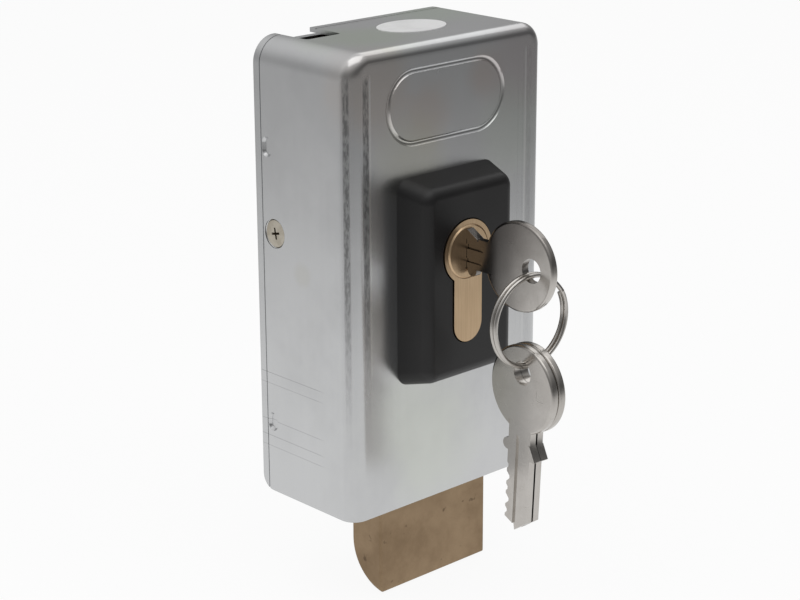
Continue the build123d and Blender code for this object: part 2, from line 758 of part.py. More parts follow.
def make_key_ring():
    # Two turns of wire side by side, joined by a short crossing. The wire's ends lie beside the crossing.
    jog_end = ring_jog_start + ring_jog_angle
    end_gap = 4.0
    arc = 360 - ring_jog_angle - end_gap
    wire = Circle(ring_wire / 2)

    def at(y, angle):
        a = radians(angle)
        return Vector(ring_centre_radius * cos(a), y, ring_centre_radius * sin(a))

    def turn(y, first):
        point = at(y, first)
        outward = Vector(point.X, 0, point.Z).normalized()
        plane = Plane(origin=point, x_dir=outward, z_dir=outward.cross(Vector(0, 1, 0)))
        return revolve(plane * wire, axis=Axis((0, 0, 0), (0, -1, 0)), revolution_arc=arc)

    rise = 2 * ring_pair_offset
    helix = Helix(pitch=rise * 360 / ring_jog_angle, height=rise, radius=ring_centre_radius, lefthand=True)
    crossing = sweep(Plane(origin=helix @ 0, z_dir=helix % 0) * wire, path=helix)
    crossing = Pos(0, -ring_pair_offset, 0) * Rot(0, -ring_jog_start, 0) * Rot(-90, 0, 0) * crossing
    knuckle = Sphere(ring_wire / 2 + 0.03)
    ring = turn(-ring_pair_offset, jog_end + end_gap) + Pos(at(-ring_pair_offset, ring_jog_start)) * knuckle
    ring += crossing
    ring += Pos(at(ring_pair_offset, jog_end)) * knuckle
    ring += turn(ring_pair_offset, jog_end)
    return hung(Pos(ring_x, ring_y, ring_z) * ring)


def make_bolt():
    # Side profile: the rear face runs down into the nose's arc.
    arc_y = bolt_rear - nose_radius
    arc_z = bolt_bottom + nose_radius
    low = arc_z - sqrt(nose_radius ** 2 - (bolt_front - arc_y) ** 2)
    middle = (arc_y + nose_radius * cos(radians(40)), arc_z - nose_radius * sin(radians(40)))
    outline = Polyline((bolt_front, low), (bolt_front, bolt_top), (bolt_rear, bolt_top), (bolt_rear, arc_z))
    outline += ThreePointArc((bolt_rear, arc_z), middle, (bolt_front, low))
    plane = Plane(origin=(-bolt_half, 0, 0), x_dir=(0, 1, 0), z_dir=(1, 0, 0))
    body = extrude(plane * make_face(outline), amount=bolt_width)
    sides = body.faces().filter_by(Axis.X)
    body = fillet(sides.edges(), bolt_edge)
    seat_left = arm_left - carriage_base_overhang
    body -= block(seat_left, bolt_half + 1, carriage_front, bolt_rear + 1, bolt_top - carriage_seat_height, bolt_top + 1)
    for x in (spring_left_x, spring_right_x):
        body -= rod_z(x, spring_y, spring_hole_radius, spring_seat, bolt_top + 1)
    for x, z in carriage_screw_places():
        body -= rod_y(x, z, carriage_screw_radius + 0.03, carriage_rear - carriage_screw_length, carriage_rear)
    return body


def carriage_screw_places():
    x = bolt_half - carriage_head_radius - 1.2
    low = bolt_top - carriage_seat_height
    return [(x, low + carriage_head_radius + 1.0), (x, bolt_top - carriage_head_radius)]


def make_bolt_carriage():
    arm_top = plunger_bottom + fork_slot_height - 0.3
    low = bolt_top - carriage_seat_height + 0.05
    seat_left = arm_left - carriage_base_overhang + 0.05
    shape = Pos((seat_left + bolt_half) / 2, (low + bolt_top) / 2) * Rectangle(bolt_half - seat_left, bolt_top - low)
    wing_low = guide_top + wing_gap
    shape += Pos(solenoid_x, (wing_low + arm_top) / 2) * Rectangle(arm_width, arm_top - wing_low)
    lug_top = lug_bottom + lug_height
    shape += Pos((lug_left + solenoid_x) / 2, (lug_bottom + lug_top) / 2) * Rectangle(
        solenoid_x - lug_left, lug_height
    )
    wing_right = bolt_half + wing_width
    shape += Pos((solenoid_x + wing_right) / 2, wing_low + wing_height / 2) * Rectangle(
        wing_right - solenoid_x, wing_height
    )
    plate = slab(shape, carriage_front, carriage_rear)
    inner_corners = plate.edges().filter_by(Axis.Y)
    tops = inner_corners.group_by(Axis.Z)[-1]
    plate = fillet(tops, 3.0)
    plate -= rod_y(solenoid_x, plunger_bottom + pin_height, plunger_pin_radius + 0.05, carriage_front - 1,
                   carriage_rear + 1)
    for x, z in carriage_screw_places():
        plate -= carriage_countersink(x, z, 0.03)
    return plate


def carriage_countersink(x, z, gap):
    head = carriage_head_radius + gap
    shank = carriage_screw_radius + gap
    end = carriage_screw_length if gap == 0 else carriage_sheet + 1
    start = 0.15 if gap == 0 else -0.5
    points = [(0, start), (head, start), (head, 0.3), (shank, 0.3 + head - shank), (shank, end), (0, end)]
    return turned(points, (x, carriage_rear, z), (0, -1, 0))


def make_carriage_screws():
    return Compound([carriage_countersink(x, z, 0) for x, z in carriage_screw_places()])


def foot_pair(inner, z0, z1, depth_front, sheet):
    # Two legs that run back to the plate and two feet turned outwards, as one folded sheet.
    legs = []
    width = foot_width if sheet == guide_wall else bracket_foot_width
    for side in (-1, 1):
        leg_x = sorted((side * inner, side * (inner + sheet)))
        foot_x = sorted((side * inner, side * (inner + sheet + width)))
        leg = block(leg_x[0], leg_x[1], depth_front, plate_front, z0, z1)
        foot = block(foot_x[0], foot_x[1], plate_front - sheet, plate_front, z0, z1)
        legs.append(leg + foot)
    return legs[0] + legs[1]


def make_bolt_guide():
    gap = guide_clearance
    inner = bolt_half + gap
    outer_front = bolt_front - gap - guide_wall
    outer_rear = bolt_rear + gap + guide_wall
    sleeve = block(-inner - guide_wall, inner + guide_wall, outer_front, outer_rear, guide_bottom, guide_top)
    sleeve = fillet(sleeve.edges().filter_by(Axis.Z).sort_by(Axis.Y)[:2], 1.5)
    body = sleeve + foot_pair(inner, guide_bottom, guide_top, outer_rear, guide_wall)
    hole = block(-inner, inner, bolt_front - gap, bolt_rear + gap, guide_bottom - 1, guide_top + 1)
    body -= fillet(hole.edges().filter_by(Axis.Z), 0.5)
    for x, z in guide_screw_places():
        body -= rod_y(x, z, foot_screw_radius + 0.2, plate_front - guide_wall - 1, plate_front)
    return body


def make_guide_screws():
    face = plate_front - guide_wall
    length = guide_wall + plate_sheet - 0.2
    return Compound([
        pan_screw_y(x, z, face, foot_head_radius, foot_head_height, foot_screw_radius, length)
        for x, z in guide_screw_places()
    ])


def make_cylinder_bracket():
    half = bracket_half_width
    web = block(-half, half, web_front, web_rear, shelf_bottom, web_top)
    body = web + foot_pair(half - bracket_sheet, shelf_bottom, bracket_leg_top, web_rear - 0.5, bracket_sheet)

    # Shelf for the springs, in two parts beside the cylinder's tail
    tail_gap = tail_half + shelf_gap
    shelf_front = spring_y - spring_radius - 1.0
    left = block(-half, cylinder_x - tail_gap, shelf_front, web_front, shelf_bottom, shelf_top)
    right = block(cylinder_x + tail_gap, arm_left - shelf_gap, shelf_front, web_front, shelf_bottom, shelf_top)
    left = fillet(left.edges().filter_by(Axis.Z).sort_by(Axis.Y)[:2], shelf_corner)
    right = fillet(right.edges().filter_by(Axis.Z).sort_by(Axis.Y)[:2], shelf_corner)
    body += left + right

    # Ear for the cylinder's screw
    ear_inner = cylinder_x + tail_half + ear_gap
    ear = block(ear_inner, ear_inner + bracket_sheet, slot_y - ear_round, slot_y + ear_round, screw_z, shelf_top)
    ear += rod_x(slot_y, screw_z, ear_round, ear_inner, ear_inner + bracket_sheet)
    body += ear
    body -= rod_x(slot_y, screw_z, cylinder_screw_radius + 0.2, ear_inner - 1, ear_inner + bracket_sheet + 1)
    body -= slab(euro_profile(profile_clearance), web_front - 1, web_rear + 1)
    for x in (spring_left_x, spring_right_x):
        body -= rod_z(x, spring_y, rod_radius + 0.03, shelf_bottom - 1, shelf_top + 1)
    for x, z in bracket_screw_places():
        body -= rod_y(x, z, foot_screw_radius + 0.2, plate_front - bracket_sheet - 1, plate_front)
    return body


def make_bracket_screws():
    face = plate_front - bracket_sheet
    length = bracket_sheet + plate_sheet - 0.2
    return Compound([
        pan_screw_y(x, z, face, foot_head_radius - 0.5, foot_head_height, foot_screw_radius, length)
        for x, z in bracket_screw_places()
    ])


def make_spring_rods():
    # Rods riveted into the shelf. They keep the springs straight inside the bolt.
    rods = []
    end = spring_seat + bolt_throw + 1.5
    for x in (spring_left_x, spring_right_x):
        points = [(0, end), (rod_radius - 0.5, end), (rod_radius, end + 0.8), (rod_radius, shelf_top)]
        points += [(rod_head_radius, shelf_top), (rod_head_radius - 0.5, shelf_top + rod_head_height)]
        points += [(0, shelf_top + rod_head_height)]
        rods.append(turned(points, (x, spring_y, 0), (0, 0, 1)))
    return Compound(rods)


def make_return_springs():
    springs = []
    low = spring_seat + spring_wire / 2
    high = shelf_bottom - spring_wire / 2
    radius = spring_radius - spring_wire / 2
    for x in (spring_left_x, spring_right_x):
        helix = Helix(pitch=(high - low) / spring_turns, height=high - low, radius=radius)
        coil = sweep(Plane(origin=helix @ 0, z_dir=helix % 0) * Circle(spring_wire / 2), path=helix, is_frenet=True)
        springs.append(Pos(x, spring_y, low) * coil)
    return Compound(springs)


def make_solenoid_frame():
    x0 = solenoid_x - frame_width / 2
    x1 = solenoid_x + frame_width / 2
    leg_front = cam_y - bobbin_radius
    leg_top = solenoid_bottom + frame_height
    outer = block(x0, x1, leg_front, plate_front, solenoid_bottom, leg_top)
    bends = outer.edges().filter_by(Axis.X).sort_by(Axis.Y)[-2:]
    outer = fillet(bends, frame_sheet * 0.9)
    outer = chamfer(outer.edges().filter_by(Axis.Z).sort_by(Axis.Y)[:2], 3.0)
    inner = block(x0 - 1, x1 + 1, leg_front - 1, plate_front - frame_sheet, solenoid_bottom + frame_sheet,
                  leg_top - frame_sheet)
    frame = outer - inner
    frame -= rod_z(solenoid_x, cam_y, plunger_radius + plunger_clearance, solenoid_bottom - 1,
                   solenoid_bottom + frame_sheet + 1)
    frame -= rod_z(solenoid_x, cam_y, pole_neck(), leg_top - frame_sheet - 1, leg_top + 1)
    for z in solenoid_screw_places():
        frame -= rod_y(solenoid_x, z, solenoid_screw_radius + 0.03, plate_front - frame_sheet - 1, plate_front)
    return frame


def pole_neck():
    return plunger_radius - 1.5


def bobbin_ends():
    return solenoid_bottom + frame_sheet, solenoid_bottom + frame_height - frame_sheet


def plunger_top():
    return solenoid_bottom + frame_sheet + plunger_engage


def make_solenoid_bobbin():
    low, high = bobbin_ends()
    bore = plunger_radius + plunger_clearance
    tube = bore + bobbin_wall
    points = [(bore, 0), (bobbin_radius, 0), (bobbin_radius, bobbin_flange), (tube, bobbin_flange)]
    points += [(tube, high - low - bobbin_flange), (bobbin_radius, high - low - bobbin_flange)]
    points += [(bobbin_radius, high - low), (bore, high - low)]
    return turned(points, (solenoid_x, cam_y, low), (0, 0, 1))


def make_solenoid_coil():
    low, high = bobbin_ends()
    inner = plunger_radius + plunger_clearance + bobbin_wall
    z0 = low + bobbin_flange
    z1 = high - bobbin_flange
    return rod_z(solenoid_x, cam_y, coil_radius, z0, z1) - rod_z(solenoid_x, cam_y, inner, z0 - 1, z1 + 1)


def make_solenoid_pole():
    low, high = bobbin_ends()
    start = plunger_top() + bolt_throw + pole_gap
    neck = pole_neck() - 0.02
    end = solenoid_bottom + frame_height + 0.8
    points = [(0, start), (plunger_radius, start), (plunger_radius, high), (neck, high)]
    points += [(neck, end - 0.8), (neck + 1.0, end - 0.8), (neck + 0.4, end), (0, end)]
    return turned(points, (solenoid_x, cam_y, 0), (0, 0, 1))


def make_solenoid_plunger():
    plunger = rod_z(solenoid_x, cam_y, plunger_radius, plunger_bottom, plunger_top())
    plunger = chamfer(plunger.edges().group_by(Axis.Z)[-1], 0.6)
    half = carriage_sheet / 2 + fork_gap
    plunger -= block(solenoid_x - 2 * plunger_radius, solenoid_x + 2 * plunger_radius, cam_y - half, cam_y + half,
                     plunger_bottom - 1, plunger_bottom + fork_slot_height)
    plunger -= rod_y(solenoid_x, plunger_bottom + pin_height, plunger_pin_radius + 0.02, cam_y - 10, cam_y + 10)
    return plunger


def make_plunger_pin():
    reach = plunger_radius - 0.3
    pin = rod_y(solenoid_x, plunger_bottom + pin_height, plunger_pin_radius, cam_y - reach, cam_y + reach)
    return chamfer(pin.edges(), 0.2)


def make_solenoid_screws():
    return Compound([countersunk_y(solenoid_x, z, 0) for z in solenoid_screw_places()])


def make_terminal_block():
    half = terminal_width / 2
    low = terminal_z - terminal_height / 2
    high = terminal_z + terminal_height / 2
    face = plate_front - terminal_depth
    body = block(notch_x - half, notch_x + half, face, plate_front, low, high)
    body = chamfer(body.edges().filter_by(Axis.X).sort_by(Axis.Y)[:2], 1.0)
    # Raised wells round the terminals, with a waist between them for the fixing screw
    body -= block(notch_x - 2.6, notch_x + 2.6, face - 1, face + 4.0, low - 1, high + 1)
    for side in (-1, 1):
        x = notch_x + side * terminal_pitch / 2 * 1.1
        body -= rod_z(x, (face + plate_front) / 2, terminal_entry_radius, low - 1, high + 1)
        body -= rod_y(x, terminal_z, terminal_screw_radius + 0.02, face - 1, (face + plate_front) / 2)
    body -= rod_y(notch_x, terminal_z, terminal_screw_radius + 0.15, face - 1, plate_front + 1)
    return body


def make_terminal_screws():
    screws = []
    face = plate_front - terminal_depth
    for side in (-1, 1):
        x = notch_x + side * terminal_pitch / 2 * 1.1
        screw = rod_y(x, terminal_z, terminal_screw_radius, face + 1.0, (face + plate_front) / 2 - 0.6)
        screw -= block(x - 3, x + 3, face, face + 1.8, terminal_z - 0.3, terminal_z + 0.3)
        screws.append(screw)
    return Compound(screws)


def make_terminal_fixing_screw():
    face = plate_front - terminal_depth + 4.0
    length = terminal_depth - 4.0 + plate_sheet - 0.2
    return pan_screw_y(notch_x, terminal_z, face, 2.4, 1.8, terminal_screw_radius, length)


def make_top_sticker():
    oval = Pos(sticker_x, sticker_y, top) * Ellipse(sticker_length / 2, sticker_width / 2)
    return extrude(oval, amount=sticker_thickness)


def make_all():
    key = make_key()
    spare_offset = (bow_thickness + spare_gap) / 2
    spare_x = ring_x + spare_shift_x
    return {
        "front_cover": make_front_cover(),
        "back_plate": make_back_plate(),
        "cover_screws": make_cover_screws(),
        "cylinder_surround": make_cylinder_surround(),
        "surround_screws": make_surround_screws(),
        "cylinder_body": make_cylinder_body(),
        "cylinder_screw": make_cylinder_screw(),
        "cylinder_plug": make_cylinder_plug(),
        "cylinder_cam": make_cylinder_cam(),
        "plug_clip": make_plug_clip(),
        "key_pins": make_key_pins(),
        "driver_pins": make_driver_pins(),
        "chamber_closers": make_chamber_closers(),
        "key_in_lock": place_key(key, (cylinder_x, key_centre_y, cylinder_z), (0, 1, 0), (0, 0, 1)),
        "key_ring": make_key_ring(),
        "spare_key_1": place_spare(key, spare_x - spare_offset),
        "spare_key_2": place_spare(key, spare_x + spare_offset),
        "latch_bolt": make_bolt(),
        "bolt_carriage": make_bolt_carriage(),
        "carriage_screws": make_carriage_screws(),
        "bolt_guide": make_bolt_guide(),
        "guide_screws": make_guide_screws(),
        "cylinder_bracket": make_cylinder_bracket(),
        "bracket_screws": make_bracket_screws(),
        "spring_rods": make_spring_rods(),
        "return_springs": make_return_springs(),
        "solenoid_frame": make_solenoid_frame(),
        "solenoid_bobbin": make_solenoid_bobbin(),
        "solenoid_coil": make_solenoid_coil(),
        "solenoid_pole": make_solenoid_pole(),
        "solenoid_plunger": make_solenoid_plunger(),
        "plunger_pin": make_plunger_pin(),
        "solenoid_screws": make_solenoid_screws(),
        "terminal_block": make_terminal_block(),
        "terminal_screws": make_terminal_screws(),
        "terminal_fixing_screw": make_terminal_fixing_screw(),
        "top_sticker": make_top_sticker(),
    }


os.makedirs("parts", exist_ok=True)
for name, shape in make_all().items():
    export_step(shape, "parts/" + name + ".step")
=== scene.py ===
import bpy
import json
import math
from mathutils import Matrix, Vector


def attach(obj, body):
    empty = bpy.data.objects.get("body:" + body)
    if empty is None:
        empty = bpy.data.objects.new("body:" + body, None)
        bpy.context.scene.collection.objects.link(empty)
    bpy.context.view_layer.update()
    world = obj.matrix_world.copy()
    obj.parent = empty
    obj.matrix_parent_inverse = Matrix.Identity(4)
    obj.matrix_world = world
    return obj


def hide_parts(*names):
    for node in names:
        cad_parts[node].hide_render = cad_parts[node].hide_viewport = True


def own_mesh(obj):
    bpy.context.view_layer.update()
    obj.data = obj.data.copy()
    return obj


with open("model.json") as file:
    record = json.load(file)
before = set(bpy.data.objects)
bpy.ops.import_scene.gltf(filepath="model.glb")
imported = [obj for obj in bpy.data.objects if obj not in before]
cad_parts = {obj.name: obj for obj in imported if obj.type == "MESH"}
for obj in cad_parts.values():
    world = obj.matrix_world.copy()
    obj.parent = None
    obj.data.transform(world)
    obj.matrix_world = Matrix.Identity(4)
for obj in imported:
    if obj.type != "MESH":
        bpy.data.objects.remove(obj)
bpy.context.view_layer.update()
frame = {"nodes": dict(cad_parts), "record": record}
bpy.ops.object.select_all(action="DESELECT")
print("stage: frame loaded,", len(frame["nodes"]), "pieces")

mm = 0.001
weld = 0.000002  # points closer than this, in m, become one


# A shader socket that can be written into sums, so that a pattern reads as one expression.
class Wire:
    def __init__(self, finish, socket):
        self.finish = finish
        self.socket = socket

    def math(self, how, *values):
        inputs = {i: v for i, v in enumerate(values)}
        return self.finish.node("ShaderNodeMath", {"operation": how}, inputs)

    def __add__(self, other):
        return self.math("ADD", self, other)

    def __radd__(self, other):
        return self.math("ADD", other, self)

    def __sub__(self, other):
        return self.math("SUBTRACT", self, other)

    def __rsub__(self, other):
        return self.math("SUBTRACT", other, self)

    def __mul__(self, other):
        return self.math("MULTIPLY", self, other)

    def __rmul__(self, other):
        return self.math("MULTIPLY", other, self)

    def __neg__(self):
        return self.math("MULTIPLY", self, -1.0)

    def __abs__(self):
        return self.math("ABSOLUTE", self)

    def higher(self, other):
        return self.math("MAXIMUM", self, other)

    def step(self, low, high):
        # 0 below low, 1 above high, smooth between them
        smooth = {"interpolation_type": "SMOOTHSTEP"}
        return self.finish.node("ShaderNodeMapRange", smooth, {0: self, 1: low, 2: high, 3: 0.0, 4: 1.0})


# Makes and links the nodes of one tree: a material's or the world's.
class Nodes:
    def __init__(self, tree):
        self.tree = tree

    def node(self, kind, settings=None, values=None, out=0):
        made = self.tree.nodes.new(kind)
        for key, value in (settings or {}).items():
            setattr(made, key, value)
        for key, value in (values or {}).items():
            if isinstance(value, Wire):
                self.tree.links.new(value.socket, made.inputs[key])
            else:
                made.inputs[key].default_value = value
        return Wire(self, made.outputs[out])

    def split(self, vector):
        node = self.node("ShaderNodeSeparateXYZ", {}, {0: vector}).socket.node
        return [Wire(self, node.outputs[i]) for i in range(3)]

    def rays(self):
        node = self.node("ShaderNodeLightPath").socket.node
        return [Wire(self, node.outputs[kind]) for kind in ("Is Camera Ray", "Is Glossy Ray")]


# One finish: a Principled shader and the nodes that feed it.
class Finish(Nodes):
    def __init__(self, name, metallic, roughness, colour):
        self.material = bpy.data.materials.new(name)
        self.material.use_nodes = True
        super().__init__(self.material.node_tree)
        self.shader = self.tree.nodes["Principled BSDF"]
        self.shader.inputs["Metallic"].default_value = metallic
        self.shader.inputs["Roughness"].default_value = roughness
        self.shader.inputs["Base Color"].default_value = (*colour, 1.0)
        self.place = self.node("ShaderNodeTexCoord", {}, {}, "Object")

    def stretched(self, scale, turn=(0, 0, 0)):
        return self.node("ShaderNodeMapping", {}, {"Vector": self.place, "Scale": scale, "Rotation": turn})

    def noise(self, scale, detail=3.0, rough=0.55, where=None):
        values = {"Vector": where or self.place, "Scale": scale, "Detail": detail, "Roughness": rough}
        return self.node("ShaderNodeTexNoise", {}, values, "Fac")

    def mix(self, factor, first, second):
        first = first if isinstance(first, Wire) else (*first, 1.0)
        second = second if isinstance(second, Wire) else (*second, 1.0)
        return self.node("ShaderNodeMix", {"data_type": "RGBA"}, {0: factor, 6: first, 7: second}, 2)

    def spot(self, centre, radius, wobble):
        # 1 at a place on the piece, fading to 0 a little past the radius, both in mm, with a ragged edge
        values = {0: self.place, 1: tuple(c * mm for c in centre)}
        away = self.node("ShaderNodeVectorMath", {"operation": "DISTANCE"}, values, "Value")
        return 1.0 - (away + wobble * (radius * mm)).step(0.3 * radius * mm, 1.3 * radius * mm)

    def line(self, coordinate, at, width):
        # 1 along a line where the coordinate is at this value, in mm
        return 1.0 - abs(coordinate - at * mm).step(0.25 * width * mm, 0.5 * width * mm)

    def feed(self, socket, wire):
        self.tree.links.new(wire.socket, self.shader.inputs[socket])

    def bump(self, height, distance, strength=1.0, under=None):
        values = {"Height": height, "Distance": distance, "Strength": strength}
        if under:
            values["Normal"] = under
        return self.node("ShaderNodeBump", {}, values)


# Camera, set so that the render lines up with the photograph. Place in mm, angles in degrees.
view = {
    "place": (-365.3, -408.4, 161.5),
    "yaw": 43.045,
    "pitch": 18.0,
    "roll": -0.244,
    "lens": 93.33,
    "sensor": 36.0,
    "nearest": 10.0,
}


def addCamera():
    yaw, pitch, roll = (math.radians(view[k]) for k in ("yaw", "pitch", "roll"))
    ahead = Vector((math.sin(yaw) * math.cos(pitch), math.cos(yaw) * math.cos(pitch), -math.sin(pitch)))
    across = Vector((math.cos(yaw), -math.sin(yaw), 0))
    above = across.cross(ahead)
    right = math.cos(roll) * across + math.sin(roll) * above
    up = -math.sin(roll) * across + math.cos(roll) * above
    bpy.ops.object.camera_add()
    camera = bpy.context.object
    camera.name = "photoCamera"
    turn = Matrix((right, up, -ahead)).transposed().to_4x4()
    camera.matrix_world = Matrix.Translation(Vector(view["place"]) * mm) @ turn
    camera.data.lens = view["lens"]
    camera.data.sensor_width = view["sensor"]
    camera.data.clip_start = view["nearest"] * mm
    bpy.context.scene.camera = camera


addCamera()


# Studio: a pale floor, a white background and soft lamps. Metal sees the floor and the room dimmer than
# the camera does, as the photograph shows them mirrored. Lengths in m.
studio = {
    "floorZ": -0.0895,
    "floorSize": 8.0,
    "floorColour": (0.80, 0.80, 0.80),
    "floorNear": 0.88,
    "floorFar": 0.23,
    "floorFarBehind": 0.26,
    "floorFade": (0.10, 0.70),
    "floorBehind": (-0.15, 0.30),
    "floorWhite": 0.92,
    # level, and where it rises from and to
    "room": 0.11,
    "ceiling": (0.45, 0.15, 0.85),
    "backdrop": (0.24, -0.2, 0.6),
    "leftWall": (0.10, 0.1, 0.9),
    "lampAim": (0, -0.02, 0),
    "lamps": [
        # name, place, size, power, seen in metal
        ("lampKey", (0.66, 0.12, 0.76), (0.72, 0.60), 0.80, True),
        ("lampTop", (-0.15, -0.25, 1.1), (1.2, 1.0), 3.4, True),
        ("lampLeft", (-1.15, -0.35, 0.35), (0.8, 0.8), 3.0, False),
        ("lampFront", (0.25, -1.2, 0.45), (0.8, 0.8), 3.0, False),
    ],
}


def addFloor():
    bpy.ops.mesh.primitive_plane_add(size=studio["floorSize"], location=(0, 0, studio["floorZ"]))
    floor = bpy.context.object
    floor.name = "floor"
    paint = Finish("floorPaper", 0.0, 0.9, studio["floorColour"])
    seen, mirrored = paint.rays()
    away = paint.node("ShaderNodeVectorMath", {"operation": "LENGTH"}, {0: paint.place}, "Value")
    fade = away.step(*studio["floorFade"])
    y = paint.split(paint.place)[1]
    far = studio["floorFar"] + y.step(*studio["floorBehind"]) * studio["floorFarBehind"]
    level = seen.higher(studio["floorNear"] - fade * (studio["floorNear"] - far))
    white = paint.node("ShaderNodeEmission", {}, {"Color": (1, 1, 1, 1), "Strength": level})
    share = (seen * studio["floorWhite"]).higher(mirrored)
    own = Wire(paint, paint.shader.outputs[0])
    paper = paint.node("ShaderNodeMixShader", {}, {0: share, 1: own, 2: white})
    paint.tree.links.new(paper.socket, paint.tree.nodes["Material Output"].inputs[0])
    floor.data.materials.append(paint.material)


def addWorld():
    world = bpy.data.worlds.new("studioWorld")
    bpy.context.scene.world = world
    world.use_nodes = True
    world.node_tree.nodes.clear()
    air = Nodes(world.node_tree)
    seen, mirrored = air.rays()
    x, y, z = air.split(air.node("ShaderNodeTexCoord", {}, {}, "Generated"))
    soft = studio["room"]
    for part, along in (("ceiling", z), ("backdrop", y), ("leftWall", -x)):
        level, low, high = studio[part]
        soft = soft + along.step(low, high) * level
    sky = air.node("ShaderNodeBackground", {}, {0: (1, 1, 1, 1), 1: soft.higher(seen)})
    out = air.tree.nodes.new("ShaderNodeOutputWorld")
    air.tree.links.new(sky.socket, out.inputs[0])


def addLamps():
    for name, place, size, power, inMetal in studio["lamps"]:
        bpy.ops.object.light_add(type="AREA", location=place)
        lamp = bpy.context.object
        lamp.name = name
        lamp.data.shape = "RECTANGLE"
        lamp.data.size, lamp.data.size_y = size
        lamp.data.energy = power
        lamp.visible_glossy = inMetal
        aim = Vector(studio["lampAim"]) - Vector(place)
        lamp.rotation_euler = aim.to_track_quat("-Z", "Y").to_euler()


addFloor()
addWorld()
addLamps()
bpy.context.scene.view_settings.view_transform = "Standard"
print("stage: camera and studio")


# Satin zinc plate on the drawn sheet: faint clouds and tints, a vertical grain, the marks of the drawing die,
# dark lines along the front rim's edges that are partly die marks and partly painted dark reflection, and a
# painted highlight line. Lengths in mm.
zincPlate = {
    "light": (0.63, 0.635, 0.64),
    "dark": (0.53, 0.535, 0.54),
    "mark": (0.15, 0.15, 0.15),
    "roughness": 0.22,
    "dieLines": ((-28.0, 0.30), (-31.0, 0.22), (-41.5, 0.25), (-46.0, 0.30), (-49.0, 0.22)),
    # the rim's dark lines: partly die marks, partly painted dark reflection
    "dieMarkAndDarkReflectionSide": (-0.3, 3.0),
    "dieMarkAndDarkReflectionFront": (29.3, 2.6),
    "fineMarksFront": ((25.2, 0.4), (27.0, 0.4)),
    # a painted highlight: a lighter line on the front, just in from each side's rim
    "paintedHighlightColour": (0.74, 0.74, 0.73),
    "paintedHighlightLine": (27.9, 0.8),
    # where each face begins, and over how far a mark fades in
    "side": (32.8, 0.4),
    "front": (35.8, 0.3),
    "dieLinesFrom": (26.5, 4.0),
    "marksLow": (48.0, 70.0),
    "marksHigh": (57.0, 2.5),
    "rightFainter": 0.75,
    "tints": [
        # centre, radius, colour, strength
        ((-15, -20, 62), 15, (0.50, 0.58, 0.44), 0.55),
        ((22, -6, 62), 17, (0.55, 0.66, 0.52), 0.50),
        ((-25, -36.5, 51), 13, (0.55, 0.47, 0.41), 0.45),
        ((-8, -36.5, 45), 10, (0.56, 0.48, 0.43), 0.45),
        ((12, -36.5, 51), 7, (0.56, 0.46, 0.41), 0.40),
        ((27, -36.5, 52), 13, (0.52, 0.46, 0.46), 0.45),
        ((-14, -36.5, 33), 13, (0.58, 0.57, 0.47), 0.45),
        ((22, -36.5, 33), 14, (0.56, 0.60, 0.54), 0.40),
        ((-10, -36.5, -42), 20, (0.60, 0.63, 0.55), 0.45),
        ((-35, -18, 2), 3, (0.56, 0.55, 0.50), 0.35),
    ],
}


def makeZincPlate(name):
    paint = Finish(name, 1.0, zincPlate["roughness"], zincPlate["light"])
    x, y, z = paint.split(paint.place)
    cloud = paint.noise(38.0, 4.0, 0.6)
    grain = paint.noise(1300.0, 2.0, 0.6)
    streak = paint.noise(1.0, 3.0, 0.6, paint.stretched((650.0, 650.0, 8.0)))
    dots = paint.noise(1.0, 2.0, 0.7, paint.stretched((1500.0, 1500.0, 420.0)))
    darker = cloud.step(0.35, 0.68) * 0.45 + grain * 0.18 + streak * 0.15
    base = paint.mix(darker, zincPlate["light"], zincPlate["dark"])
    wobble = (cloud - 0.5) * 1.6
    for centre, radius, colour, strength in zincPlate["tints"]:
        base = paint.mix(paint.spot(centre, radius, wobble) * strength, base, colour)

    side, front, dieLinesFrom, low, high = (
        [v * mm for v in zincPlate[key]] for key in ("side", "front", "dieLinesFrom", "marksLow", "marksHigh")
    )
    onSide = (abs(x) - side[0]).step(0.0, side[1])
    onFront = (-front[0] - y).step(0.0, front[1])
    lines = None
    for height, width in zincPlate["dieLines"]:
        line = paint.line(z, height, width)
        lines = line if lines is None else lines.higher(line)
    lines = lines * onSide * (y + dieLinesFrom[0]).step(0.0, dieLinesFrom[1])
    ends = (z + low[0]).step(0.0, low[1]) * (high[0] - z).step(0.0, high[1])
    # dark lines along the front rim's edges, partly die marks and partly painted dark reflection
    # |x| + y runs round the front rim, from its side to its front
    marksAndDarkReflection = paint.line(abs(x) + y, *zincPlate["dieMarkAndDarkReflectionSide"]) * onSide
    marksAndDarkReflection = marksAndDarkReflection.higher(paint.line(abs(x), *zincPlate["dieMarkAndDarkReflectionFront"]) * onFront)
    for place, width in zincPlate["fineMarksFront"]:
        marksAndDarkReflection = marksAndDarkReflection.higher(paint.line(x, place, width) * onFront * 0.5)
    # the right side is fainter
    marksAndDarkReflection = marksAndDarkReflection * ends * (1.0 - x.step(0.0, 2.0 * mm) * zincPlate["rightFainter"])
    worn = marksAndDarkReflection * (0.45 + dots.step(0.38, 0.62) * 0.55)
    base = paint.mix(lines * 0.30, base, zincPlate["mark"])
    # the rim's lines darken the colour: part die marks, part painted dark reflection
    base = paint.mix(worn * 0.80, base, zincPlate["mark"])
    # painted highlight line on the front
    paintedHighlight = paint.line(abs(x), *zincPlate["paintedHighlightLine"]) * onFront * ends
    base = paint.mix(paintedHighlight * 0.6, base, zincPlate["paintedHighlightColour"])
    paint.feed("Base Color", base)
    paint.feed("Roughness", zincPlate["roughness"] - 0.03 + cloud * 0.07 + streak * 0.05 + marksAndDarkReflection * 0.15)
    fine = paint.bump(grain, 0.000006)
    drawn = paint.bump(streak * 0.35 - marksAndDarkReflection, 0.00002, 0.5, fine)
    paint.feed("Normal", drawn)
    return paint.material


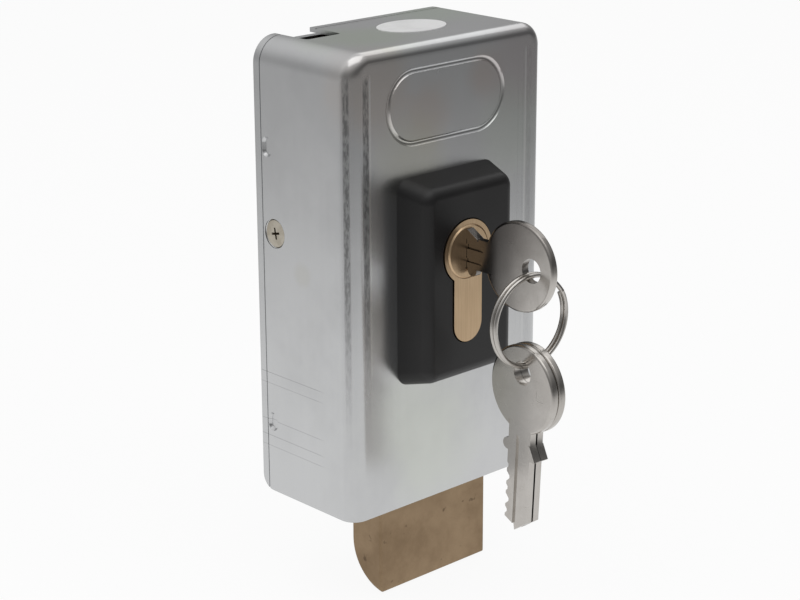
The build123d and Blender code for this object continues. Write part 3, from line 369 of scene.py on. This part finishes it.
# Black moulded surround, with the faint grain of its mould
blackMoulding = {"colour": (0.005, 0.0047, 0.005), "worn": (0.011, 0.0103, 0.0105), "roughness": 0.44}


def makeBlackMoulding():
    paint = Finish("blackMoulding", 0.0, blackMoulding["roughness"], blackMoulding["colour"])
    grain = paint.noise(2400.0, 2.0)
    smear = paint.noise(45.0, 3.0)
    worn = smear.step(0.4, 0.72) * 0.5
    paint.feed("Base Color", paint.mix(worn, blackMoulding["colour"], blackMoulding["worn"]))
    paint.feed("Roughness", blackMoulding["roughness"] - 0.06 + smear * 0.12)
    paint.feed("Normal", paint.bump(grain, 0.00001))
    return paint.material


# Brass: turned and brushed on the cylinder, dull and spotted on the bolt
cylinderBrass = {"light": (0.64, 0.47, 0.30), "dark": (0.46, 0.32, 0.19), "roughness": 0.30}
boltBrass = {
    "light": (0.37, 0.268, 0.168), "dark": (0.25, 0.172, 0.102), "spot": (0.10, 0.065, 0.04),
    "roughness": 0.46,
}


def makeCylinderBrass():
    paint = Finish("cylinderBrass", 1.0, cylinderBrass["roughness"], cylinderBrass["light"])
    streak = paint.noise(1.0, 3.0, 0.6, paint.stretched((2400.0, 80.0, 80.0)))
    cloud = paint.noise(160.0, 3.0)
    share = streak.step(0.3, 0.8) * 0.45 + cloud * 0.15
    paint.feed("Base Color", paint.mix(share, cylinderBrass["light"], cylinderBrass["dark"]))
    paint.feed("Roughness", cylinderBrass["roughness"] - 0.06 + cloud * 0.14)
    paint.feed("Normal", paint.bump(streak, 0.00001))
    return paint.material


def makeBoltBrass():
    paint = Finish("boltBrass", 1.0, boltBrass["roughness"], boltBrass["light"])
    cloud = paint.noise(60.0, 4.0, 0.6)
    grain = paint.noise(800.0, 3.0, 0.6)
    speck = paint.noise(330.0, 2.0, 0.5)
    streak = paint.noise(1.0, 3.0, 0.6, paint.stretched((500.0, 500.0, 14.0)))
    base = paint.mix(cloud.step(0.35, 0.7) * 0.7 + grain * 0.2, boltBrass["light"], boltBrass["dark"])
    base = paint.mix(speck.step(0.66, 0.74) * 0.6, base, boltBrass["spot"])
    paint.feed("Base Color", base)
    paint.feed("Roughness", boltBrass["roughness"] - 0.08 + cloud * 0.16 + grain * 0.06)
    fine = paint.bump(grain, 0.00003)
    paint.feed("Normal", paint.bump(streak, 0.00002, 0.6, fine))
    return paint.material


# Nickel plate of the keys and the ring, with fine handling scratches
nickelPlate = {
    "light": (0.56, 0.535, 0.505), "dark": (0.44, 0.415, 0.385), "scratch": (0.30, 0.28, 0.255),
    "shade": (0.17, 0.155, 0.145), "shadeFrom": -12.0, "shadeTo": 9.0, "bow": (-64.8, 8.2),
}


def makeNickel(name, roughness, shaded=0.0):
    paint = Finish(name, 1.0, roughness, nickelPlate["light"])
    cloud = paint.noise(100.0, 4.0, 0.6)
    scratch = paint.noise(1.0, 2.0, 0.5, paint.stretched((250.0, 260.0, 3200.0), (0.6, 0.0, 0.0)))
    other = paint.noise(1.0, 2.0, 0.5, paint.stretched((250.0, 3000.0, 240.0), (0.35, 0.0, 0.0)))
    fine = scratch.step(0.66, 0.76).higher(other.step(0.67, 0.76))
    base = paint.mix(cloud.step(0.38, 0.7) * 0.5, nickelPlate["light"], nickelPlate["dark"])
    base = paint.mix(fine * 0.25, base, nickelPlate["scratch"])
    if shaded:
        # a tint, not wear: it stands in for the black surround that the photograph shows mirrored here
        y, z = paint.split(paint.place)[1:]
        bowY, bowZ = nickelPlate["bow"]
        inward = (y - bowY * mm) * 0.8 + (z - bowZ * mm) * 0.6 + (cloud - 0.5) * 0.004
        near = inward.step(nickelPlate["shadeFrom"] * mm, nickelPlate["shadeTo"] * mm)
        base = paint.mix(near * shaded, base, nickelPlate["shade"])
    paint.feed("Base Color", base)
    paint.feed("Roughness", roughness - 0.03 + cloud * 0.10 + fine * 0.08)
    paint.feed("Normal", paint.bump(cloud * 0.5 + fine * -0.5, 0.000008))
    return paint.material


# Other finishes: colour, metallic, roughness, and the size of their grain
otherFinishes = {
    "innerSteel": ((0.56, 0.565, 0.56), 1.0, 0.34, 1500.0),
    "screwSteel": ((0.60, 0.575, 0.53), 1.0, 0.30, 2200.0),
    "springSteel": ((0.40, 0.40, 0.41), 1.0, 0.26, 2600.0),
    "whiteMoulding": ((0.76, 0.74, 0.69), 0.0, 0.42, 2600.0),
    "stickerVinyl": ((0.80, 0.80, 0.80), 0.0, 0.36, 3000.0),
    "copperWinding": ((0.62, 0.26, 0.10), 0.75, 0.30, 1800.0),
}


def makeOther(name):
    colour, metallic, roughness, size = otherFinishes[name]
    paint = Finish(name, metallic, roughness, colour)
    cloud = paint.noise(120.0, 3.0)
    grain = paint.noise(size, 2.0)
    darker = tuple(c * 0.76 for c in colour)
    paint.feed("Base Color", paint.mix(cloud.step(0.4, 0.72) * 0.45 + grain * 0.1, colour, darker))
    paint.feed("Roughness", roughness - 0.05 + cloud * 0.12)
    paint.feed("Normal", paint.bump(grain, 0.000008))
    return paint.material


# The cover screws are yellowish, a darker brown down in the cross recess
coverScrew = {
    "light": (0.60, 0.555, 0.47), "dark": (0.44, 0.395, 0.32), "recessBrown": (0.16, 0.115, 0.075), "top": 34.72,
}


def makeCoverScrewSteel():
    paint = Finish("coverScrewSteel", 1.0, 0.30, coverScrew["light"])
    x = paint.split(paint.place)[0]
    cloud = paint.noise(420.0, 3.0)
    grain = paint.noise(2600.0, 2.0)
    # darker brown and rougher below the head's top face, down in the cross recess
    below = (coverScrew["top"] * mm - abs(x)).step(0.0, 0.35 * mm)
    base = paint.mix(cloud.step(0.38, 0.68) * 0.6 + grain * 0.1, coverScrew["light"], coverScrew["dark"])
    paint.feed("Base Color", paint.mix(below * 0.85, base, coverScrew["recessBrown"]))
    paint.feed("Roughness", 0.26 + cloud * 0.10 + below * 0.25)
    paint.feed("Normal", paint.bump(grain, 0.00001))
    return paint.material


coverScrewSteel = makeCoverScrewSteel()
keyInLockNickel = makeNickel("keyInLockNickel", 0.18, 0.85)
finishes = {
    "zinc_steel": makeZincPlate("zincPlate"),
    "inner_steel": makeOther("innerSteel"),
    "screw_steel": makeOther("screwSteel"),
    "spring_steel": makeOther("springSteel"),
    "black_moulding": makeBlackMoulding(),
    "white_moulding": makeOther("whiteMoulding"),
    "white_sticker": makeOther("stickerVinyl"),
    "cylinder_brass": makeCylinderBrass(),
    "bolt_brass": makeBoltBrass(),
    "nickel_plate": makeNickel("nickelPlate", 0.20),
    "copper_winding": makeOther("copperWinding"),
}
slotOf = {part["node"]: part["material_slot"] for part in frame["record"]["subparts"]}
bodyOf = {node: body for body, nodes in frame["record"]["behaviour"]["bodies"].items() for node in nodes}
for nodeName, nodeObject in frame["nodes"].items():
    nodeObject.data.materials.clear()
    nodeObject.data.materials.append(finishes[slotOf[nodeName]])
print("stage: finishes")


# The drawn cover's front rim looks tighter in the photograph than in the solid. Along the top it is tighter
# still here, which brings that edge's highlight near the photograph's width. Lengths in mm.
coverRim = {
    "was": 6.8, "sides": 4.4, "top": 3.0, "sheet": 1.2,
    "halfWidth": 35.0, "height": 62.0, "front": -36.5, "corner": 6.8,
}


def rimDepth(centre, radius, away):
    # How far behind the front the rim lies, this far in from the wall
    reach = max(centre - away, 0.0)
    return centre - math.sqrt(max(radius ** 2 - reach ** 2, 0.0))


def tightenRim(piece):
    was, sheet, corner = coverRim["was"], coverRim["sheet"], coverRim["corner"]
    for point in piece.data.vertices:
        x, y, z = point.co / mm
        sideways = coverRim["halfWidth"] - abs(x)
        downwards = coverRim["height"] - z
        if sideways < corner and downwards < corner:
            away = corner - math.hypot(corner - sideways, corner - downwards)
            towardsTop = math.atan2(corner - downwards, corner - sideways) / math.radians(90)
        else:
            away = min(sideways, downwards)
            towardsTop = 0.0 if sideways < downwards else 1.0
        depth = y - coverRim["front"]
        if away > was or depth > was + 0.01:
            continue
        away = max(away, 0.0)
        now = coverRim["sides"] * (1 - towardsTop) + coverRim["top"] * towardsTop
        outer = rimDepth(was, was, away)
        inner = rimDepth(was, was - sheet, away) if away >= sheet else was
        newInner = rimDepth(now, now - sheet, away) if away >= sheet else now
        share = min(max((depth - outer) / max(inner - outer, 0.001), 0.0), 1.0) if inner > outer else 0.0
        point.co.y = (coverRim["front"] + rimDepth(now, now, away) * (1 - share) + newInner * share) * mm


# Every piece left as in the CAD gets smooth shading across its curves, and the cover also its tighter rim.
# Angles in degrees.
smoothing = {
    "usual": 30,
    "front_cover": 28,
    "key_ring": 60,
    "top_sticker": 40,
    "leftToSceneParts": ("return_springs", "solenoid_coil", "cover_screws"),
}


def smoothPiece(nodeName):
    piece = bpy.data.objects.new(nodeName.replace("_", "-"), frame["nodes"][nodeName].data.copy())
    bpy.context.scene.collection.objects.link(piece)
    bpy.ops.object.select_all(action="DESELECT")
    piece.select_set(True)
    bpy.context.view_layer.objects.active = piece
    bpy.ops.object.mode_set(mode="EDIT")
    bpy.ops.mesh.select_all(action="SELECT")
    bpy.ops.mesh.remove_doubles(threshold=weld)
    bpy.ops.object.mode_set(mode="OBJECT")
    bpy.ops.mesh.customdata_custom_splitnormals_clear()
    if nodeName == "front_cover":
        tightenRim(piece)
    bpy.ops.object.shade_smooth_by_angle(angle=math.radians(smoothing.get(nodeName, smoothing["usual"])))
    bpy.ops.object.modifier_add(type="WEIGHTED_NORMAL")
    weighted = piece.modifiers[-1]
    weighted.keep_sharp = True
    weighted.weight = 100
    bpy.ops.object.modifier_apply(modifier=weighted.name)
    if nodeName == "key_in_lock":
        piece.data.materials[0] = keyInLockNickel
    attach(piece, bodyOf[nodeName])
    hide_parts(nodeName)


for nodeName in frame["nodes"]:
    if nodeName not in smoothing["leftToSceneParts"]:
        smoothPiece(nodeName)
print("stage: pieces smoothed")


# Finishes a new piece: its place goes into its mesh, it gets its finish, and it rides where the node did.
def settle(piece, name, nodeName):
    bpy.ops.object.select_all(action="DESELECT")
    piece.select_set(True)
    bpy.context.view_layer.objects.active = piece
    bpy.ops.object.transform_apply(location=True, rotation=True, scale=True)
    bpy.ops.object.shade_smooth_by_angle(angle=math.radians(smoothing["usual"]))
    piece.name = name
    piece.data.materials.clear()
    piece.data.materials.append(finishes[slotOf[nodeName]])
    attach(piece, bodyOf[nodeName])
    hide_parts(nodeName)


def tidyNormals():
    bpy.ops.object.mode_set(mode="EDIT")
    bpy.ops.mesh.select_all(action="SELECT")
    bpy.ops.mesh.remove_doubles(threshold=weld)
    bpy.ops.mesh.normals_make_consistent(inside=False)
    bpy.ops.object.mode_set(mode="OBJECT")


# One helix of round wire on the Z axis, from its lowest point up, its ends closed. Lengths in mm.
def windWire(wire, radius, length, turns, around, segments):
    bpy.ops.object.select_all(action="DESELECT")
    upright = (math.radians(90), 0, 0)
    bpy.ops.mesh.primitive_circle_add(vertices=segments, radius=wire / 2 * mm, rotation=upright)
    piece = bpy.context.object
    bpy.ops.object.transform_apply(rotation=True)
    bpy.ops.object.mode_set(mode="EDIT")
    bpy.ops.mesh.select_all(action="SELECT")
    bpy.ops.transform.translate(value=(radius * mm, 0, wire / 2 * mm))
    bpy.ops.object.mode_set(mode="OBJECT")
    bpy.ops.object.modifier_add(type="SCREW")
    winding = piece.modifiers[-1]
    winding.screw_offset = (length - wire) / turns * mm
    winding.iterations = turns
    winding.steps = winding.render_steps = around
    bpy.ops.object.modifier_apply(modifier=winding.name)
    bpy.ops.object.mode_set(mode="EDIT")
    bpy.ops.mesh.select_all(action="DESELECT")
    bpy.ops.mesh.select_non_manifold()
    bpy.ops.mesh.edge_face_add()
    bpy.ops.object.mode_set(mode="OBJECT")
    tidyNormals()
    return piece


# The two return springs, built at one length; the real ones shorten as the bolt goes up
springs = {
    "places": (-15.8, 9.8), "y": -26.8, "low": -63.8, "high": -6.8, "shortest": 41.0,
    "radius": 2.15, "wire": 0.7, "turns": 9, "around": 28, "segments": 12,
}


def addSprings():
    length = springs["high"] - springs["low"]
    shape = [springs[key] for key in ("turns", "around", "segments")]
    made = windWire(springs["wire"], springs["radius"], length, *shape)
    for number, x in enumerate(springs["places"]):
        spring = made.copy()
        spring.data = made.data.copy()
        bpy.context.scene.collection.objects.link(spring)
        spring.location = (x * mm, springs["y"] * mm, springs["low"] * mm)
        settle(spring, "return-spring-" + str(number + 1), "return_springs")
        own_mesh(spring)
    bpy.data.objects.remove(made)


addSprings()
print("stage: return springs")


# The solenoid's winding: the outer layer turn by turn, over a plain core for the layers below
coil = {
    "x": 17.7, "y": -21.1, "low": 32.5, "high": 54.5, "inner": 6.8, "outer": 11.6,
    "wire": 0.62, "turns": 35, "around": 48, "segments": 8, "coreSegments": 96,
}


def addCoil():
    height = coil["high"] - coil["low"]
    shape = [coil[key] for key in ("turns", "around", "segments")]
    winding = windWire(coil["wire"], coil["outer"] - coil["wire"] / 2, height, *shape)
    bpy.ops.object.select_all(action="DESELECT")
    radius = coil["outer"] - coil["wire"] * 0.6
    bpy.ops.mesh.primitive_circle_add(vertices=coil["coreSegments"], radius=radius * mm)
    core = bpy.context.object
    bpy.ops.object.mode_set(mode="EDIT")
    bpy.ops.mesh.select_all(action="SELECT")
    rise = {"value": (0, 0, height * mm)}
    bpy.ops.mesh.extrude_region_move(TRANSFORM_OT_translate=rise)
    bpy.ops.object.mode_set(mode="OBJECT")
    tidyNormals()
    bpy.ops.object.modifier_add(type="SOLIDIFY")
    wall = core.modifiers[-1]
    wall.thickness = (radius - coil["inner"]) * mm
    wall.offset = -1.0
    bpy.ops.object.modifier_apply(modifier=wall.name)
    bpy.ops.object.select_all(action="DESELECT")
    core.select_set(True)
    winding.select_set(True)
    bpy.context.view_layer.objects.active = winding
    bpy.ops.object.join()
    winding.location = (coil["x"] * mm, coil["y"] * mm, coil["low"] * mm)
    settle(winding, "coil-winding", "solenoid_coil")


addCoil()
print("stage: coil winding")


# The cover's two countersunk screws, each with a cross recess that is darker inside
screw = {
    "x": 35.0, "y": -7.1, "z": 11.2, "sunk": 0.25, "head": 3.6, "rim": 0.35, "cone": 1.6, "shank": 2.0,
    "length": 6.5, "point": (0.5, 0.72), "segments": 64, "dome": ((0.25, 0.06), (0.7, 0.05)),
    "cross": (4.4, 0.85), "deep": 1.3, "taper": 0.45, "turn": 12.0,
}


def selectFlat(piece, height):
    # the faces that lie level at this height
    bpy.ops.mesh.select_mode(type="FACE")
    bpy.ops.mesh.select_all(action="DESELECT")
    bpy.ops.object.mode_set(mode="OBJECT")
    for face in piece.data.polygons:
        face.select = abs(face.center.z - height) < 0.00001 and abs(face.normal.z) > 0.9
    bpy.ops.object.mode_set(mode="EDIT")


def makeCross():
    wide, thin = screw["cross"]
    bars = []
    for turn in (0, 90):
        bpy.ops.mesh.primitive_cube_add(size=1.0)
        bar = bpy.context.object
        bar.dimensions = (wide * mm, thin * mm, 2 * screw["deep"] * mm)
        bar.rotation_euler.z = math.radians(turn)
        bpy.ops.object.transform_apply(rotation=True, scale=True)
        bpy.ops.object.mode_set(mode="EDIT")
        selectFlat(bar, -screw["deep"] * mm)
        bpy.ops.transform.resize(value=(screw["taper"], screw["taper"], 1.0))
        bpy.ops.object.mode_set(mode="OBJECT")
        bars.append(bar)
    bpy.ops.object.modifier_add(type="BOOLEAN")
    both = bars[1].modifiers[-1]
    both.operation, both.object = "UNION", bars[0]
    bpy.ops.object.modifier_apply(modifier=both.name)
    bpy.data.objects.remove(bars[0])
    return bars[1]


def makeScrew():
    bpy.ops.object.select_all(action="DESELECT")
    size = {"vertices": screw["segments"], "radius": screw["head"] * mm}
    bpy.ops.mesh.primitive_circle_add(fill_type="NGON", **size)
    made = bpy.context.object
    bpy.ops.object.mode_set(mode="EDIT")
    straight = screw["length"] - screw["rim"] - screw["cone"] - screw["point"][0]
    cone = (screw["cone"], screw["shank"] / screw["head"])
    for down, scale in ((screw["rim"], 1.0), cone, (straight, 1.0), screw["point"]):
        bpy.ops.mesh.extrude_region_move(TRANSFORM_OT_translate={"value": (0, 0, -down * mm)})
        bpy.ops.transform.resize(value=(scale, scale, 1.0))
    bpy.ops.mesh.select_mode(type="EDGE")
    bpy.ops.mesh.select_all(action="DESELECT")
    bpy.ops.mesh.select_non_manifold()
    bpy.ops.mesh.edge_face_add()
    bpy.ops.mesh.select_mode(type="FACE")
    for inwards, rise in screw["dome"]:
        bpy.ops.mesh.inset(thickness=inwards * mm)
        bpy.ops.transform.translate(value=(0, 0, rise * mm))
    bpy.ops.object.mode_set(mode="OBJECT")
    tidyNormals()
    cross = makeCross()
    bpy.ops.object.select_all(action="DESELECT")
    made.select_set(True)
    bpy.context.view_layer.objects.active = made
    bpy.ops.object.modifier_add(type="BOOLEAN")
    cut = made.modifiers[-1]
    cut.operation, cut.object = "DIFFERENCE", cross
    bpy.ops.object.modifier_apply(modifier=cut.name)
    bpy.data.objects.remove(cross)
    return made


def addScrews():
    made = makeScrew()
    for side, name in ((-1, "left"), (1, "right")):
        piece = made.copy()
        piece.data = made.data.copy()
        bpy.context.scene.collection.objects.link(piece)
        out = Vector((side, 0, 0))
        up = Vector((0, 0, 1))
        turn = Matrix((up.cross(out), up, out)).transposed().to_4x4()
        turn = turn @ Matrix.Rotation(math.radians(screw["turn"]), 4, "Z")
        place = Vector((side * (screw["x"] - screw["sunk"]), screw["y"], screw["z"])) * mm
        piece.matrix_world = Matrix.Translation(place) @ turn
        settle(piece, "cover-screw-" + name, "cover_screws")
        piece.data.materials[0] = coverScrewSteel
    bpy.data.objects.remove(made)


addScrews()
print("stage: cover screws")
